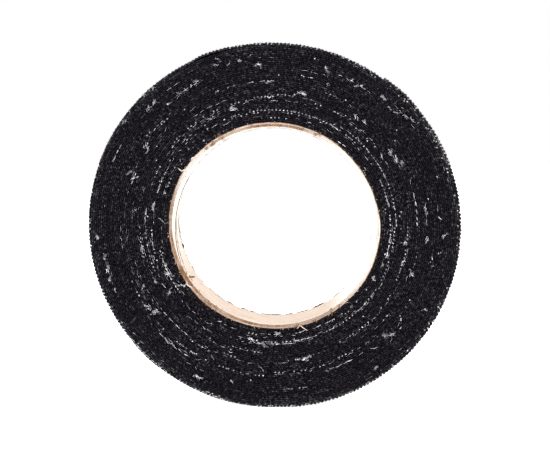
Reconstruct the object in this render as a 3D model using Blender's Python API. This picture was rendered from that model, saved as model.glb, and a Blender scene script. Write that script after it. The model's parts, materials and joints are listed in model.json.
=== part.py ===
"""Roll of black cotton grip tape on a spiral-wound paper core.

The roll stands on its tread: its axis runs along Y, +Z is up, and the origin is on the ground
midway between the two side faces, under the axis. Units are metres, and angles are degrees from
+X towards +Z.

The tape is one strip, wound as a spiral from the core outwards. Its last few centimetres, the end
that a finger lifts, are cut into short pieces hinged to each other, because the strip bends there.
The core is four paper plies, each one strip wound at a slant, so each has a slanting butt seam.
"""

import math

import bmesh
import bpy
from mathutils import Matrix, Vector

# Tape
TAPE_WIDTH = 0.019
TAPE_THICKNESS = 0.00036
WIND_GAP = 0.00003  # air and compound between one turn and the next
TURN_PITCH = TAPE_THICKNESS + WIND_GAP
OUTER_RADIUS = 0.0375  # to the outer face of the tape, at its free end
CORE_RADIUS = 0.0214  # to the outer face of the core

# Every round surface is a polygon with its corners at the same angles, so that thin gaps between
# neighbouring rings stay even. One flat is at the very bottom, and the roll stands on it.
CORNERS = 36
CORNER_STEP = 360 / CORNERS
BOTTOM_FLAT = (-1, 0)  # the corners at its left and right ends
FIRST_CORNER = -90 + CORNER_STEP / 2  # the angle of corner 0

# The roll has been squeezed a little out of round. Its long axis slopes down to the right.
OUT_OF_ROUND = 0.00035  # added to the radius along the long axis, and taken off it across
LONG_AXIS = -18.0

# The free end
END_CORNER = 14  # the corner, counted from the bottom flat, at the end of the tape's last flat
END_TRIM = 0.0016  # how far short of that corner the tape is cut
END_PIECES = 4  # hinged pieces, each one flat long
HINGE_CLEARANCE = 0.00004  # from a hinge line to the piece on either side of it

# Core plies, from the bore outwards: name, thickness, colour, angle of the seam at mid-width
PLY_GAP = 0.00002
PLIES = (
    ("core_liner", 0.00014, (0.86, 0.74, 0.60), 175.0),
    ("core_ply_inner", 0.00040, (0.52, 0.36, 0.24), 60.0),
    ("core_ply_outer", 0.00040, (0.47, 0.32, 0.21), 290.0),
    ("core_wrap", 0.00014, (0.58, 0.41, 0.27), 15.0),
)
SEAM_GAP = 0.00030
SEAM_SLANT = math.radians(-45)  # between the roll's axis and the seam, which falls back as it rises
SEAM_STEPS = 8
CUTTER_EXTRA = 0.0010  # how far a seam cutter runs past the ply at each side

TAPE_COLOUR = (0.016, 0.015, 0.018)
TAPE_ROUGHNESS = 0.62
PAPER_ROUGHNESS = 0.85

HALF_WIDTH = TAPE_WIDTH / 2


# Where a ring's points are.


def corner_angle(corner):
    return FIRST_CORNER + corner * CORNER_STEP


def tape_outer_radius(corner):
    """Radius of the tape's outer face where the wound strip passes this corner."""
    return OUTER_RADIUS - TURN_PITCH * (END_CORNER - corner) / CORNERS


def squeezed_point(radius, angle):
    """A point of a squeezed ring round the origin, in two dimensions: X, then Z."""
    distance = radius + OUT_OF_ROUND * math.cos(math.radians(2 * (angle - LONG_AXIS)))
    turn = math.radians(angle)
    return Vector((distance * math.cos(turn), distance * math.sin(turn)))


def bottom_flat():
    """The slope of the tape's bottom flat, in radians, and how far below the axis it is."""
    left, right = [squeezed_point(tape_outer_radius(c), corner_angle(c)) for c in BOTTOM_FLAT]
    along = (right - left).normalized()
    return math.atan2(along.y, along.x), abs(along.x * left.y - along.y * left.x)


BOTTOM_SLOPE, AXIS_HEIGHT = bottom_flat()
LEVELLING = Matrix.Rotation(-BOTTOM_SLOPE, 2)


def ring_point(radius, angle, y):
    """A point of a squeezed ring round the roll's axis, with the bottom flat turned level."""
    level = LEVELLING @ squeezed_point(radius, angle)
    return Vector((level.x, y, level.y + AXIS_HEIGHT))


def ring_section(inner, outer, angle):
    """Four corners of a band where it passes an angle: inner then outer face, front to back."""
    return [
        ring_point(inner, angle, -HALF_WIDTH),
        ring_point(outer, angle, -HALF_WIDTH),
        ring_point(outer, angle, HALF_WIDTH),
        ring_point(inner, angle, HALF_WIDTH),
    ]


def tape_section(corner):
    outer = tape_outer_radius(corner)
    return ring_section(outer - TAPE_THICKNESS, outer, corner_angle(corner))


def start_corner():
    """The corner where the strip starts, as close to the core as whole flats allow."""
    room = OUTER_RADIUS - TAPE_THICKNESS - (CORE_RADIUS + PLY_GAP)
    return END_CORNER - math.floor(room / TURN_PITCH * CORNERS)


def between(section_a, section_b, distance):
    """The section on the flat from a to b that is this far from a."""
    share = distance / (section_b[1] - section_a[1]).length
    return [a.lerp(b, share) for a, b in zip(section_a, section_b)]


def solid_through(name, sections, closed=False):
    """A closed mesh through a row of four-point sections, or round a ring of them."""
    mesh = bmesh.new()
    rows = [[mesh.verts.new(point) for point in section] for section in sections]
    pairs = list(zip(rows, rows[1:]))
    if closed:
        pairs.append((rows[-1], rows[0]))
    else:
        mesh.faces.new(rows[0])
        mesh.faces.new(reversed(rows[-1]))
    for row, following in pairs:
        for i in range(4):
            j = (i + 1) % 4
            mesh.faces.new((row[j], row[i], following[i], following[j]))
    bmesh.ops.recalc_face_normals(mesh, faces=mesh.faces)
    data = bpy.data.meshes.new(name)
    mesh.to_mesh(data)
    mesh.free()
    made = bpy.data.objects.new(name, data)
    bpy.context.scene.collection.objects.link(made)
    return made


def material(name, colour, roughness):
    """A matte, non-metallic Principled material."""
    made = bpy.data.materials.new(name)
    made.use_nodes = True
    shader = made.node_tree.nodes["Principled BSDF"]
    shader.inputs["Base Color"].default_value = (*colour, 1)
    shader.inputs["Roughness"].default_value = roughness
    shader.inputs["Metallic"].default_value = 0
    return made


def shade_round(part):
    """Smooth shading across the flats, with sharp edges where a face turns a corner."""
    part.data.shade_smooth()
    part.data.set_sharp_from_angle(angle=math.radians(30))


def clear_scene():
    for thing in list(bpy.data.objects):
        bpy.data.objects.remove(thing)


# Core: four paper plies, one inside the other.


def ply_tube(name, inner, outer):
    """A full ring of the core's width."""
    sections = [ring_section(inner, outer, corner_angle(corner)) for corner in range(CORNERS)]
    return solid_through(name, sections, closed=True)


def seam_cutter(name, inner, outer, seam_angle):
    """A thin slanting blade through one ply, where the two edges of its strip meet."""
    middle = (inner + outer) / 2
    half_gap = math.degrees(SEAM_GAP / 2 / math.cos(SEAM_SLANT) / middle)
    reach = HALF_WIDTH + CUTTER_EXTRA
    low = inner - CUTTER_EXTRA
    high = outer + CUTTER_EXTRA
    sections = []
    for step in range(SEAM_STEPS + 1):
        y = reach * (2 * step / SEAM_STEPS - 1)
        angle = seam_angle + math.degrees(y * math.tan(SEAM_SLANT) / middle)
        sections.append(
            [
                ring_point(low, angle - half_gap, y),
                ring_point(high, angle - half_gap, y),
                ring_point(high, angle + half_gap, y),
                ring_point(low, angle + half_gap, y),
            ]
        )
    cutter = solid_through(name, sections)
    cutter.hide_render = True
    cutter.display_type = "WIRE"
    return cutter


def build_core():
    """The plies from the outside inwards, each with its own seam."""
    outer = CORE_RADIUS
    for name, thickness, colour, seam_angle in reversed(PLIES):
        inner = outer - thickness
        ply = ply_tube(name, inner, outer)
        seam = ply.modifiers.new("seam", "BOOLEAN")
        seam.operation = "DIFFERENCE"
        seam.object = seam_cutter(name + "_seam_cutter", inner, outer, seam_angle)
        ply.data.materials.append(material(name, colour, PAPER_ROUGHNESS))
        shade_round(ply)
        outer = inner - PLY_GAP


# Tape: the wound length, and the free end in hinged pieces.


def build_wound_tape(black):
    """The strip from its start on the core to the first hinge, a little short of it."""
    hinge_corner = END_CORNER - END_PIECES
    sections = [tape_section(corner) for corner in range(start_corner(), hinge_corner)]
    sections.append(between(tape_section(hinge_corner), sections[-1], HINGE_CLEARANCE))
    wound = solid_through("tape_winding", sections)
    wound.data.materials.append(black)
    shade_round(wound)


def build_free_end(black):
    """Pieces one flat long, the last one trimmed. Each hangs on an empty at its hinge line, which is
    on the tape's outer face."""
    carrier = None
    for number in range(END_PIECES):
        first = END_CORNER - END_PIECES + number
        near = tape_section(first)
        far = tape_section(first + 1)
        start = between(near, far, HINGE_CLEARANCE)
        last = number == END_PIECES - 1
        stop = between(far, near, END_TRIM if last else HINGE_CLEARANCE)
        name = f"tape_end_{number + 1}"
        piece = solid_through(name, [start, stop])
        piece.data.materials.append(black)

        hinge = bpy.data.objects.new(name + "_hinge", None)
        bpy.context.scene.collection.objects.link(hinge)
        hinge.location = (near[1] + near[2]) / 2
        if carrier:
            hinge.parent = carrier
            hinge.location -= carrier.matrix_world.translation
        bpy.context.view_layer.update()
        piece.data.transform(hinge.matrix_world.inverted())
        piece.parent = hinge
        carrier = hinge


def main():
    clear_scene()
    build_core()
    black = material("tape_black", TAPE_COLOUR, TAPE_ROUGHNESS)
    build_wound_tape(black)
    build_free_end(black)


main()
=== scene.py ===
"""Looks of a roll of black cotton grip tape on a spiral-wound paper core.

The roll stands on its tread with its axis along Y, and the camera looks along +Y. Units are metres,
and angles are degrees from +X towards +Z. A winding angle also counts turns: it rises by 360 for
each turn of the tape, from the core out to the free end. Side 0 is the front face, and side 1 the
back one.
"""

import json
import math

import bpy
import numpy as np
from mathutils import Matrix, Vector
from numpy.random import default_rng


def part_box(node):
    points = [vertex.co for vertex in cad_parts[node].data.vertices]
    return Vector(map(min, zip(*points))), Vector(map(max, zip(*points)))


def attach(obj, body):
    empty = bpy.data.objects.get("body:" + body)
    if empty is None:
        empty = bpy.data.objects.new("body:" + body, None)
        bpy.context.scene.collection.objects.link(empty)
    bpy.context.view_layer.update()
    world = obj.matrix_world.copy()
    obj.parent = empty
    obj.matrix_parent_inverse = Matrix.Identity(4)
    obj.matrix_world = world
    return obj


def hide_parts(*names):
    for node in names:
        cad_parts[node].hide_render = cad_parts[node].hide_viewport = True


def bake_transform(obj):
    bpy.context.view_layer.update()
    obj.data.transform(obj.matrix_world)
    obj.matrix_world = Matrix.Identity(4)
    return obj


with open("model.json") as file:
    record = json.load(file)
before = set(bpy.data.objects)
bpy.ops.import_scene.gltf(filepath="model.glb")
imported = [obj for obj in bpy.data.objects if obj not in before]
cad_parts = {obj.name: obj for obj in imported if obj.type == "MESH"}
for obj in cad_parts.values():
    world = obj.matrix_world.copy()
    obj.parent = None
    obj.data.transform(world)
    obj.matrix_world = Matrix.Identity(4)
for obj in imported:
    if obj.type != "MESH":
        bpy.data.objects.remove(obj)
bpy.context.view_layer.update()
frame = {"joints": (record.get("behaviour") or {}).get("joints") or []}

MM = 0.001
FULL_TURN = 6.283  # radians

# The tape, as the CAD model winds it
TAPE_WIDTH = 0.019
TAPE_THICKNESS = 0.00036
TURN_PITCH = 0.00039
OUTER_RADIUS = 0.0375
RIM_WINDING = 55.73  # the winding angle at which the outer face reaches OUTER_RADIUS
END_ANGLE = 53.3  # the free end is cut here
OUT_OF_ROUND = 0.00035
LONG_AXIS = -17.3
CORE_RADIUS = 0.0214
HALF_WIDTH = TAPE_WIDTH / 2

# The cloth
THREAD = 0.000385  # from one thread to the next, both ways
SAMPLES = 3  # points along the strip for each thread
SAMPLE_STEP = THREAD / SAMPLES
CREST_WAVE = np.array([0.0, 1.0, 0.85])  # a thread end's height at its three points
CREST_WEAR = np.array([0.25, 1.0, 0.9])  # how much of its wear shows at its three points
THREAD_RISE = 0.00015  # how far a thread end stands out of the cut edge
THREAD_STRAY = 0.00003  # how far a thread end lies out of its turn's line
EDGE_DROP = 0.00007  # how far the edge's corners lie behind its middle
EDGE_SHARES = np.array([0.3, 0.7])  # where its two rows of points lie across the thickness
EDGE_CRESTS = np.array([1.0, 0.9])  # and how much of THREAD_RISE they have
EDGE_WANDER = 0.00008  # how far the turns lie out of line
TOOTH = 0.00014  # how far every second thread end rises above the tread at its two edges
TOOTH_WAVE = np.array([-0.9, -0.7, -0.2, 0.6, 1.0, 0.3])  # over two threads
TOOTH_REACH = 0.0009  # how far in from the edge the teeth start
EDGE_SOFTNESS = 0.0002  # and how far in they are at their full height
TOOTH_SHARES = (  # angle, and how much of TOOTH the teeth have there
    (0, 1.1), (80, 1.15), (110, 1.0), (140, 0.3), (175, 0.4), (200, 1.0), (225, 0.4), (262, 0.3),
    (285, 0.9), (335, 0.75), (360, 1.1),
)
WEAVE_CRIMP = 0.00006  # how far a thread goes up and down
WEAVE_ROUND = 0.0001  # how far its round top stands over its sides
WEAVE_SPREAD = 1.7  # narrows each thread's round top, so that neighbours part
THREAD_UNEVEN = 0.00003  # how much one thread is higher than the next
TREAD_COLUMNS = 148  # points across the tread
INNER_COLUMNS = 12  # on the underside, where it is hidden

# Where the outermost turn stands off the turn below: start, peak and end angle, and height
LIFTS = ((35, 45, 52, 0.00016), (97, 113, 117.5, 0.00026), (216, 226, 236, 0.00014))

FOOT_RISE = 0.00017  # how much the outermost turn is flattened where it stands
FOOT_SPREAD = 13.0

# How many of the loose fibres there are for each metre of tape
TREAD_LINT = 1500
EDGE_HAIRS = 3600
TREAD_HAIRS = 1800

# Bare thread ends: a white bead and two short hairs at each
BEAD_LENGTH = 0.00027
BEAD_RADIUS = 0.00009
BARE_ENOUGH = 0.45  # of a thread end that has them
STROKES = 45  # single loose threads on each side face

# Rows of bare white thread ends on the front face: distance from the axis in mm, the two angles
# between which they lie, and the share of the threads there that are bare
BARE_ROWS = (
    (24.4, 0, 22, 0.75), (24.4, 22, 51, 0.9), (23.6, 45, 90, 0.9), (23.2, 60, 88, 0.3),
    (23.2, 0, 25, 0.6), (22.5, 5, 20, 0.3), (26.0, 38, 55, 0.6), (26.6, 49, 72, 0.4), (29.1, 61, 69, 0.5),
    (26.9, 80, 92, 0.6), (22.0, 83, 92, 0.5), (23.7, 88, 112, 0.9), (23.7, 112, 125, 0.5),
    (23.3, 92, 112, 0.4), (26.5, 90, 102, 0.9), (26.1, 100, 140, 0.4), (25.8, 140, 180, 0.4),
    (29.6, 90, 130, 0.3), (30.5, 134, 140, 0.6), (31.0, 141, 146, 0.6), (24.1, 153, 166, 0.8),
    (22.8, 154, 164, 0.7), (24.6, 120, 150, 0.25), (23.0, 125, 150, 0.3), (31.0, 200, 230, 0.4),
    (30.9, 230, 268, 0.7), (29.0, 234, 243, 0.7), (28.2, 248, 256, 0.7), (26.9, 238, 251, 0.6),
    (26.9, 184, 196, 0.7), (25.8, 180, 206, 0.6), (23.6, 192, 216, 0.9), (24.5, 182, 200, 0.6),
    (22.9, 180, 200, 0.5), (26.4, 250, 264, 0.8), (24.3, 258, 271, 0.9), (23.9, 256, 272, 0.5),
    (22.6, 255, 261, 0.7), (24.1, 270, 290, 0.9), (24.1, 290, 326, 0.85), (24.1, 326, 360, 0.75),
    (23.2, 343, 358, 0.9), (27.2, 290, 330, 0.45), (26.7, 336, 360, 0.9), (27.8, 275, 286, 0.7),
    (30.3, 269, 290, 0.5), (29.9, 294, 311, 0.5), (28.9, 316, 326, 0.5), (33.8, 273, 281, 0.6),
    (22.4, 300, 340, 0.3), (22.8, 300, 350, 0.12), (37.2, 15, 60, 0.5), (36.8, 20, 85, 0.35),
    (36.4, 15, 60, 0.25), (37.1, 60, 115, 0.4), (36.8, 85, 110, 0.3), (37.2, 115, 200, 0.12),
    (36.6, 205, 262, 0.15),
)

# Bare warp threads along the cut edge on the front face: distance in mm, and their two angles
BARE_WARPS = (
    (26.0, 27, 33), (28.8, 0, 6), (28.8, 8, 13), (31.0, 75, 80), (34.6, 152, 156), (25.8, 172, 180),
    (32.1, 223, 230), (32.1, 232, 238), (28.4, 218, 223), (28.4, 225, 230), (22.4, 281, 287),
    (22.4, 291, 301), (31.2, 291, 300), (23.2, 345, 353), (24.4, 261, 269), (24.1, 271, 278),
    (24.1, 280, 287), (24.1, 313, 321), (23.6, 197, 204), (23.6, 206, 213), (24.6, 184, 190),
    (21.7, 31, 33), (21.7, 48, 54), (23.5, 56, 60), (29.5, 159, 163), (37.2, 217, 234), (37.3, 244, 254),
)

# The same, where only thin threads show
THIN_WARPS = (
    (27.3, 184, 194), (26.9, 180, 194), (26.5, 185, 203), (25.9, 180, 197), (25.5, 186, 205),
    (24.8, 185, 200), (23.8, 194, 206), (23.1, 201, 215), (22.8, 180, 191), (29.6, 181, 186),
    (30.9, 180, 188), (28.9, 194, 216), (30.1, 196, 215), (34.9, 189, 202), (34.4, 192, 197),
    (24.4, 205, 237), (25.5, 226, 237), (28.6, 213, 229), (28.4, 240, 262), (27.0, 240, 251),
    (26.2, 252, 264), (24.5, 248, 270), (24.0, 252, 270), (22.8, 243, 252), (22.3, 262, 270),
    (28.9, 233, 241), (31.7, 221, 238), (31.0, 236, 240), (33.3, 237, 245), (35.8, 217, 233),
    (24.4, 270, 292), (24.0, 270, 300), (23.7, 292, 316), (24.2, 316, 340), (22.6, 270, 286),
    (23.4, 340, 360), (27.4, 300, 334), (28.0, 270, 281), (31.3, 289, 306), (30.4, 270, 284),
    (30.2, 284, 312), (28.9, 314, 326), (29.0, 339, 350), (33.8, 274, 283), (27.1, 343, 360),
    (28.6, 0, 13), (24.4, 0, 8), (24.5, 20, 57), (23.2, 2, 22), (23.2, 32, 52), (28.0, 24, 35),
    (26.3, 39, 62), (27.9, 47, 55), (29.3, 57, 69), (26.9, 72, 90), (33.4, 54, 66), (32.2, 70, 82),
    (25.8, 75, 90), (30.6, 0, 10), (33.1, 5, 9), (36.1, 14, 20), (34.6, 35, 46), (25.9, 96, 104),
    (25.7, 102, 146), (27.1, 111, 126), (32.9, 116, 128), (32.3, 126, 132), (30.7, 132, 146),
    (29.9, 155, 167), (29.6, 90, 110), (34.6, 152, 160), (24.2, 130, 180), (25.0, 118, 150),
    (26.9, 163, 167), (27.2, 172, 180), (25.9, 172, 180), (28.5, 170, 177), (22.9, 150, 166),
    (34.3, 90, 96), (34.5, 124, 130),
)

# Loose tufts on the front face: distance from the axis in mm, angle, size in mm, and threads
TUFTS = (
    (30.5, 5, 0.7, 3), (30.4, 7, 0.8, 3), (33.1, 3, 0.6, 3), (28.6, 26, 0.9, 5), (28.2, 29, 1.0, 5),
    (27.8, 32, 0.9, 5), (35.6, 36, 1.0, 2), (34.9, 39, 1.1, 2), (34.2, 42, 1.1, 2), (33.5, 45, 1.1, 2),
    (34.2, 49.6, 0.9, 6), (27.8, 49, 0.8, 4), (27.9, 53, 0.8, 4), (33.3, 59, 0.9, 4), (33.4, 62, 0.8, 3),
    (33.7, 71.5, 0.9, 4), (30.9, 69, 0.5, 3), (27.7, 78, 1.0, 6), (32.9, 95.5, 0.9, 4),
    (34.4, 101, 0.8, 3), (34.0, 105.6, 0.7, 3), (35.6, 108.5, 0.9, 3), (34.7, 109.5, 0.8, 3),
    (25.2, 109, 0.8, 7), (25.1, 120.5, 1.0, 3), (32.9, 118.5, 1.0, 2), (32.9, 122, 1.0, 2),
    (32.8, 125, 0.9, 2), (32.5, 131.5, 0.7, 4), (36.8, 131.5, 0.6, 4), (34.6, 134, 0.8, 4),
    (34.5, 136.5, 0.8, 4), (36.7, 145.5, 0.7, 3), (29.9, 148.6, 1.0, 6), (34.6, 157.5, 0.9, 2),
    (30.9, 160, 0.8, 4), (29.5, 161, 0.9, 3), (24.5, 171, 0.8, 7), (28.1, 174, 0.8, 3),
    (35.6, 183.5, 0.8, 6), (34.8, 190, 0.8, 4), (34.7, 194, 0.9, 4), (34.8, 198, 0.8, 4),
    (34.7, 201.5, 0.7, 3), (29.9, 216.2, 1.1, 6), (34.9, 242.6, 0.9, 3), (34.6, 244.2, 0.9, 3),
    (33.3, 255, 0.7, 4), (22.1, 272, 0.7, 6), (27.8, 283.8, 1.0, 7), (35.3, 306, 0.7, 4),
    (31.8, 316.5, 1.3, 8), (31.4, 324, 0.6, 3), (34.6, 330.6, 0.7, 4), (22.3, 332, 0.7, 7),
    (28.9, 341.5, 0.8, 4), (32.5, 346.3, 0.7, 3), (32.5, 348, 0.6, 3), (30.7, 355, 0.8, 4),
    (34.0, 357, 0.8, 4), (26.3, 92, 0.7, 4), (29.2, 92.5, 0.6, 3), (23.8, 258, 0.9, 4),
    (24.6, 265, 0.9, 5), (26.6, 205, 0.9, 4), (27.0, 190, 0.9, 4), (23.3, 205, 0.9, 5),
    (22.3, 213, 0.8, 5), (25.0, 212, 0.9, 4), (29.3, 205, 0.7, 3), (30.6, 213, 0.9, 4),
    (32.2, 228, 0.7, 3), (26.8, 344, 0.8, 4), (26.2, 352, 0.8, 3), (22.9, 340, 0.7, 4),
)

# The core's plies from the bore out: slot, paper, thickness, seam angle, how far each cut end
# stands out of the tape's edge, and how rough it is
PLIES = {
    "core_liner": ("liner_paper", "liner_paper", 0.00014, 175.0, -0.00002, 0.00005),
    "core_ply_inner": ("core_board", "core_board", 0.0004, 60.0, 0.00002, 0.0001),
    "core_ply_outer": ("core_board", "core_board_pale", 0.0004, 290.0, 0.00004, 0.00011),
    "core_wrap": ("wrap_paper", "wrap_paper", 0.00014, 15.0, 0.00001, 0.00008),
}
PLY_BLUNT = 0.00006  # how far the corners of a cut end lie behind its middle
PLY_GAP = 0.00002
SEAM_GAP = 0.0003
SEAM_SLANT = 45.0

# Painted shade on the core's outer edge, where it meets the tape's first turn: angle, and how deep in mm
SHADE_BY_TAPE = (
    (0, 0.22), (15, 0.5), (45, 0.5), (62, 0.3), (80, 0.2), (105, 0.2), (120, 0.3), (150, 0.32),
    (165, 0.42), (180, 0.48), (195, 0.36), (208, 0.2), (225, 0.1), (240, 0.14), (255, 0.22), (270, 0.3),
    (285, 0.27), (300, 0.38), (315, 0.36), (335, 0.27), (360, 0.22),
)

SHADE_BLUR = 0.00006  # how uneven and how soft the border of the painted shade is

# How torn and pale the core's plies are at each angle, from 0 to 1; the pale side towards +X, from about
# 315° through 0° to 55°, is a painted highlight, the rest real tears
TORN_AND_LIT_BOARD = (
    (0, 1), (45, 1), (60, 0.6), (75, 0.15), (90, 0.1), (105, 0.3), (120, 0.5), (135, 0.8), (150, 0.65),
    (160, 0.35), (172, 0), (300, 0.05), (315, 0.45), (330, 0.85), (360, 1),
)
TORN_AND_LIT_LINER = (
    (0, 1), (45, 1), (60, 0.45), (75, 0.1), (105, 0.15), (120, 0.4), (135, 0.45), (150, 0.6), (180, 0.35),
    (198, 0.25), (212, 0), (302, 0), (314, 0.8), (325, 1), (360, 1),
)
CORE_INNER = CORE_RADIUS - sum(ply[2] for ply in PLIES.values()) - PLY_GAP * (len(PLIES) - 1)
# Colours of torn paper, also used for the painted highlight on the side towards +X
TORN_AND_LIT_WHITE, TORN_AND_LIT_CREAM = (0.95, 0.93, 0.9), (0.76, 0.72, 0.66)
# Near-black of the painted shade where the core meets the tape
SHADE_BLACK = (0.012, 0.01, 0.011)
BROWN, BEIGE, TAN = (0.3, 0.17, 0.1), (0.44, 0.31, 0.22), (0.6, 0.44, 0.33)

# The papers' colours along their fibres' pattern, its scale and how it is stretched,
# the colour and the share of their patches, and the colour where they are torn, also used as painted
# highlight
PALE_BOARD = ((0.34, (0.3, 0.19, 0.13)), (0.56, (0.44, 0.3, 0.22)), (0.74, (0.6, 0.46, 0.36)))
DARK_BOARD = ((0.34, (0.13, 0.065, 0.035)), (0.56, (0.27, 0.15, 0.09)), (0.74, (0.46, 0.32, 0.22)))
TORN_BROWN = ((0.34, (0.2, 0.1, 0.045)), (0.56, (0.36, 0.2, 0.1)), (0.74, (0.5, 0.33, 0.2)))
LINER_CREAM = ((0.34, (0.62, 0.5, 0.41)), (0.6, (0.765, 0.665, 0.585)))
# Colours of the glue, which also colour the painted shadow of the liner's raised seam edge
GLUE_AND_SHADE = ((0.3, (0.03, 0.026, 0.016)), (0.7, (0.12, 0.09, 0.055)))
PAPERS = {
    "core_board": (DARK_BOARD, 1500, (1, 0.4, 1), BEIGE, 0.7, TORN_AND_LIT_CREAM),
    "core_board_pale": (PALE_BOARD, 1500, (1, 0.4, 1), BROWN, 0.5, TORN_AND_LIT_CREAM),
    "wrap_paper": (PALE_BOARD, 1200, (1, 0.4, 1), BROWN, 0.6, TORN_AND_LIT_CREAM),
    "liner_paper": (LINER_CREAM, 420, (0.3, 2.5, 0.3), TAN, 0.35, TORN_AND_LIT_WHITE),
    "torn_board": (TORN_BROWN, 1500, (1, 1, 1), BROWN, 0.5, TORN_AND_LIT_CREAM),
    "glue_and_shade": (GLUE_AND_SHADE, 1800, (1, 1, 1), BROWN, 0.2, TORN_AND_LIT_CREAM),
}

# Flaps of torn paper at the core's front end: each a line of angles and distances in mm, and how
# thick it is in mm
TORN_FLAPS = (
    (((284.4, 20.8), (285.4, 21.4), (286.5, 21.9), (287.6, 22.4)), 0.09),
    (((284.6, 20.9), (283.4, 21.3), (282.4, 21.5)), 0.08),
    (((147.4, 21.1), (148.6, 21.2), (149.4, 21.5), (148.9, 22.4)), 0.11),
    (((212.0, 20.95), (213.3, 21.2), (214.3, 21.4), (215.6, 21.15), (217.0, 20.9)), 0.12),
    (((139.0, 20.9), (139.8, 21.2), (140.6, 21.3), (141.6, 21.1)), 0.1),
)

TORN_FIBRES = 420  # that stand out of each end
BURR_SPACING = 0.0007  # from one frayed fibre to the next along the back inner edge

# Patches of torn brown fibre at the front end: distance in mm, angle, size in mm, and threads
TORN_PATCHES = (
    (20.85, 206.5, 1.3, 13), (20.75, 209.5, 1.1, 10), (20.9, 213.0, 0.8, 5), (20.9, 230.5, 1.2, 9),
    (20.8, 234.5, 0.9, 6), (20.7, 120.5, 1.0, 8), (20.65, 126.0, 1.0, 10), (20.7, 131.0, 0.8, 6),
    (20.9, 293.0, 0.8, 5), (20.8, 304.0, 0.9, 5), (20.8, 309.0, 0.6, 4), (20.7, 75.0, 0.8, 4),
    (20.7, 65.0, 0.8, 5), (21.0, 103.0, 0.7, 4), (21.0, 283.0, 0.8, 4),
)

# Dark lines inside the core, at the liner's seam and where glue has run; the seam lines stand for a raised
# seam edge and are coloured dark as its painted shadow: angle and place along the axis in mm at both ends,
# and thickness in mm
WALL_LINES = (
    (202.3, -9.5, 148.2, 9.4, 0.15), (208.0, -7.4, 177.0, 3.0, 0.12), (212.2, -5.5, 213.7, 1.5, 0.26),
    (190.0, 7.2, 176.0, 9.0, 0.08),
)

TORN_STRIP = (211.0, -9.5, 212.4, -4.5, 0.4)  # the same for a torn strip of brown board

# Dark lines along the core's inner edge at the back: two angles, and thickness in mm
RIM_LINES = (
    (174, 197, 0.05), (199, 214, 0.035), (228, 246, 0.05), (247, 259, 0.065), (261, 274, 0.09),
    (276, 281, 0.06), (282, 291, 0.08), (293, 303, 0.1), (306, 318, 0.045),
)

# Spots of glue inside the core: angle, place along the axis in mm, and size in mm
GLUE_SPOTS = (
    (194.8, 8.9, 1.2), (213.5, -7.6, 0.4), (151.0, -8.5, 0.3), (238.0, -9.0, 0.3), (221.0, -8.9, 0.3),
)

# The camera
CAMERA_LENS = 116.5
CAMERA_DISTANCE = 0.36
CAMERA_AZIMUTH = 0.7
CAMERA_ELEVATION = 2.9
CAMERA_AIM = (0.00017, 0, 0.00019)  # from the middle of the front face

# The lamps: place, size and power
LAMPS = (
    ("key", (-0.35, -0.7, 0.75), 0.5, 2.6),
    ("fill", (0.6, -0.5, 0.4), 0.6, 1.2),
    ("back", (0.2, 0.7, 0.6), 0.6, 1.0),
)
FLOOR_REACH = 3.0

liner_low, liner_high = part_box("core_liner")
AXIS_Z = (liner_low.z + liner_high.z) / 2
HINGE_ANGLES = [
    math.degrees(math.atan2(joint["pos_m"][2] - AXIS_Z, joint["pos_m"][0]))
    for joint in frame["joints"]
]


# Random values that are the same at each run

LINE_CELLS = 8192
PLANE_CELLS = 256


def smooth_share(x, low, high):
    """From 0 at low to 1 at high, level at both ends."""
    share = np.clip((x - low) / (high - low), 0, 1)
    return share * share * (3 - 2 * share)


def line_noise(x, period, seed):
    """Smooth values from -1 to 1 along a line, which change over one period."""
    table = default_rng(seed).uniform(-1, 1, LINE_CELLS)
    cell = np.floor(x / period).astype(int)
    share = smooth_share(x / period - cell, 0, 1)
    return table[cell % LINE_CELLS] * (1 - share) + table[(cell + 1) % LINE_CELLS] * share


def plane_noise(x, z, period, seed):
    """Smooth values from -1 to 1 over a plane."""
    table = default_rng(seed).uniform(-1, 1, (PLANE_CELLS, PLANE_CELLS))
    cell_x, cell_z = np.floor(x / period).astype(int), np.floor(z / period).astype(int)
    share_x, share_z = smooth_share(x / period - cell_x, 0, 1), smooth_share(z / period - cell_z, 0, 1)
    column, following = cell_x % PLANE_CELLS, (cell_x + 1) % PLANE_CELLS
    low, high = [
        table[column, row % PLANE_CELLS] * (1 - share_x) + table[following, row % PLANE_CELLS] * share_x
        for row in (cell_z, cell_z + 1)
    ]
    return low * (1 - share_z) + high * share_z


# Where the tape is


def turn_radius(winding):
    """Radius of the tape's outer face, before the roll is squeezed."""
    return OUTER_RADIUS - TURN_PITCH * (RIM_WINDING - winding) / 360


def lift(winding):
    """How far the outermost turn stands off the one below."""
    height = np.zeros_like(winding)
    for start, peak, end, top in LIFTS:
        for shift in (0, -360):
            if END_ANGLE - 360 <= start + shift <= END_ANGLE:
                rise = smooth_share(winding, start + shift, peak + shift)
                height += top * rise * (1 - smooth_share(winding, peak + shift, end + shift))
    return height


def place(radius, angle, y):
    """The point at this radius and angle of the squeezed roll, which is flat where it stands."""
    radius, angle, y = np.broadcast_arrays(radius, angle, y)
    from_foot = (angle + 90 + 180) % 360 - 180
    share = np.clip((radius - CORE_RADIUS) / (OUTER_RADIUS - CORE_RADIUS), 0, 1.1)
    flattening = FOOT_RISE * share**2 * np.exp(-((from_foot / FOOT_SPREAD) ** 2))
    oval = OUT_OF_ROUND * np.cos(np.radians(2 * (angle - LONG_AXIS)))
    distance = radius + oval - flattening
    turn = np.radians(angle)
    height = np.maximum(AXIS_Z + distance * np.sin(turn), 0)
    return np.stack([distance * np.cos(turn), y, height], axis=-1)


def at_angle(table, angle):
    """The value at this angle from a table of angles and values."""
    angles, values = np.array(table, dtype=float).T
    return np.interp(angle % 360, angles, values)


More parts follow.
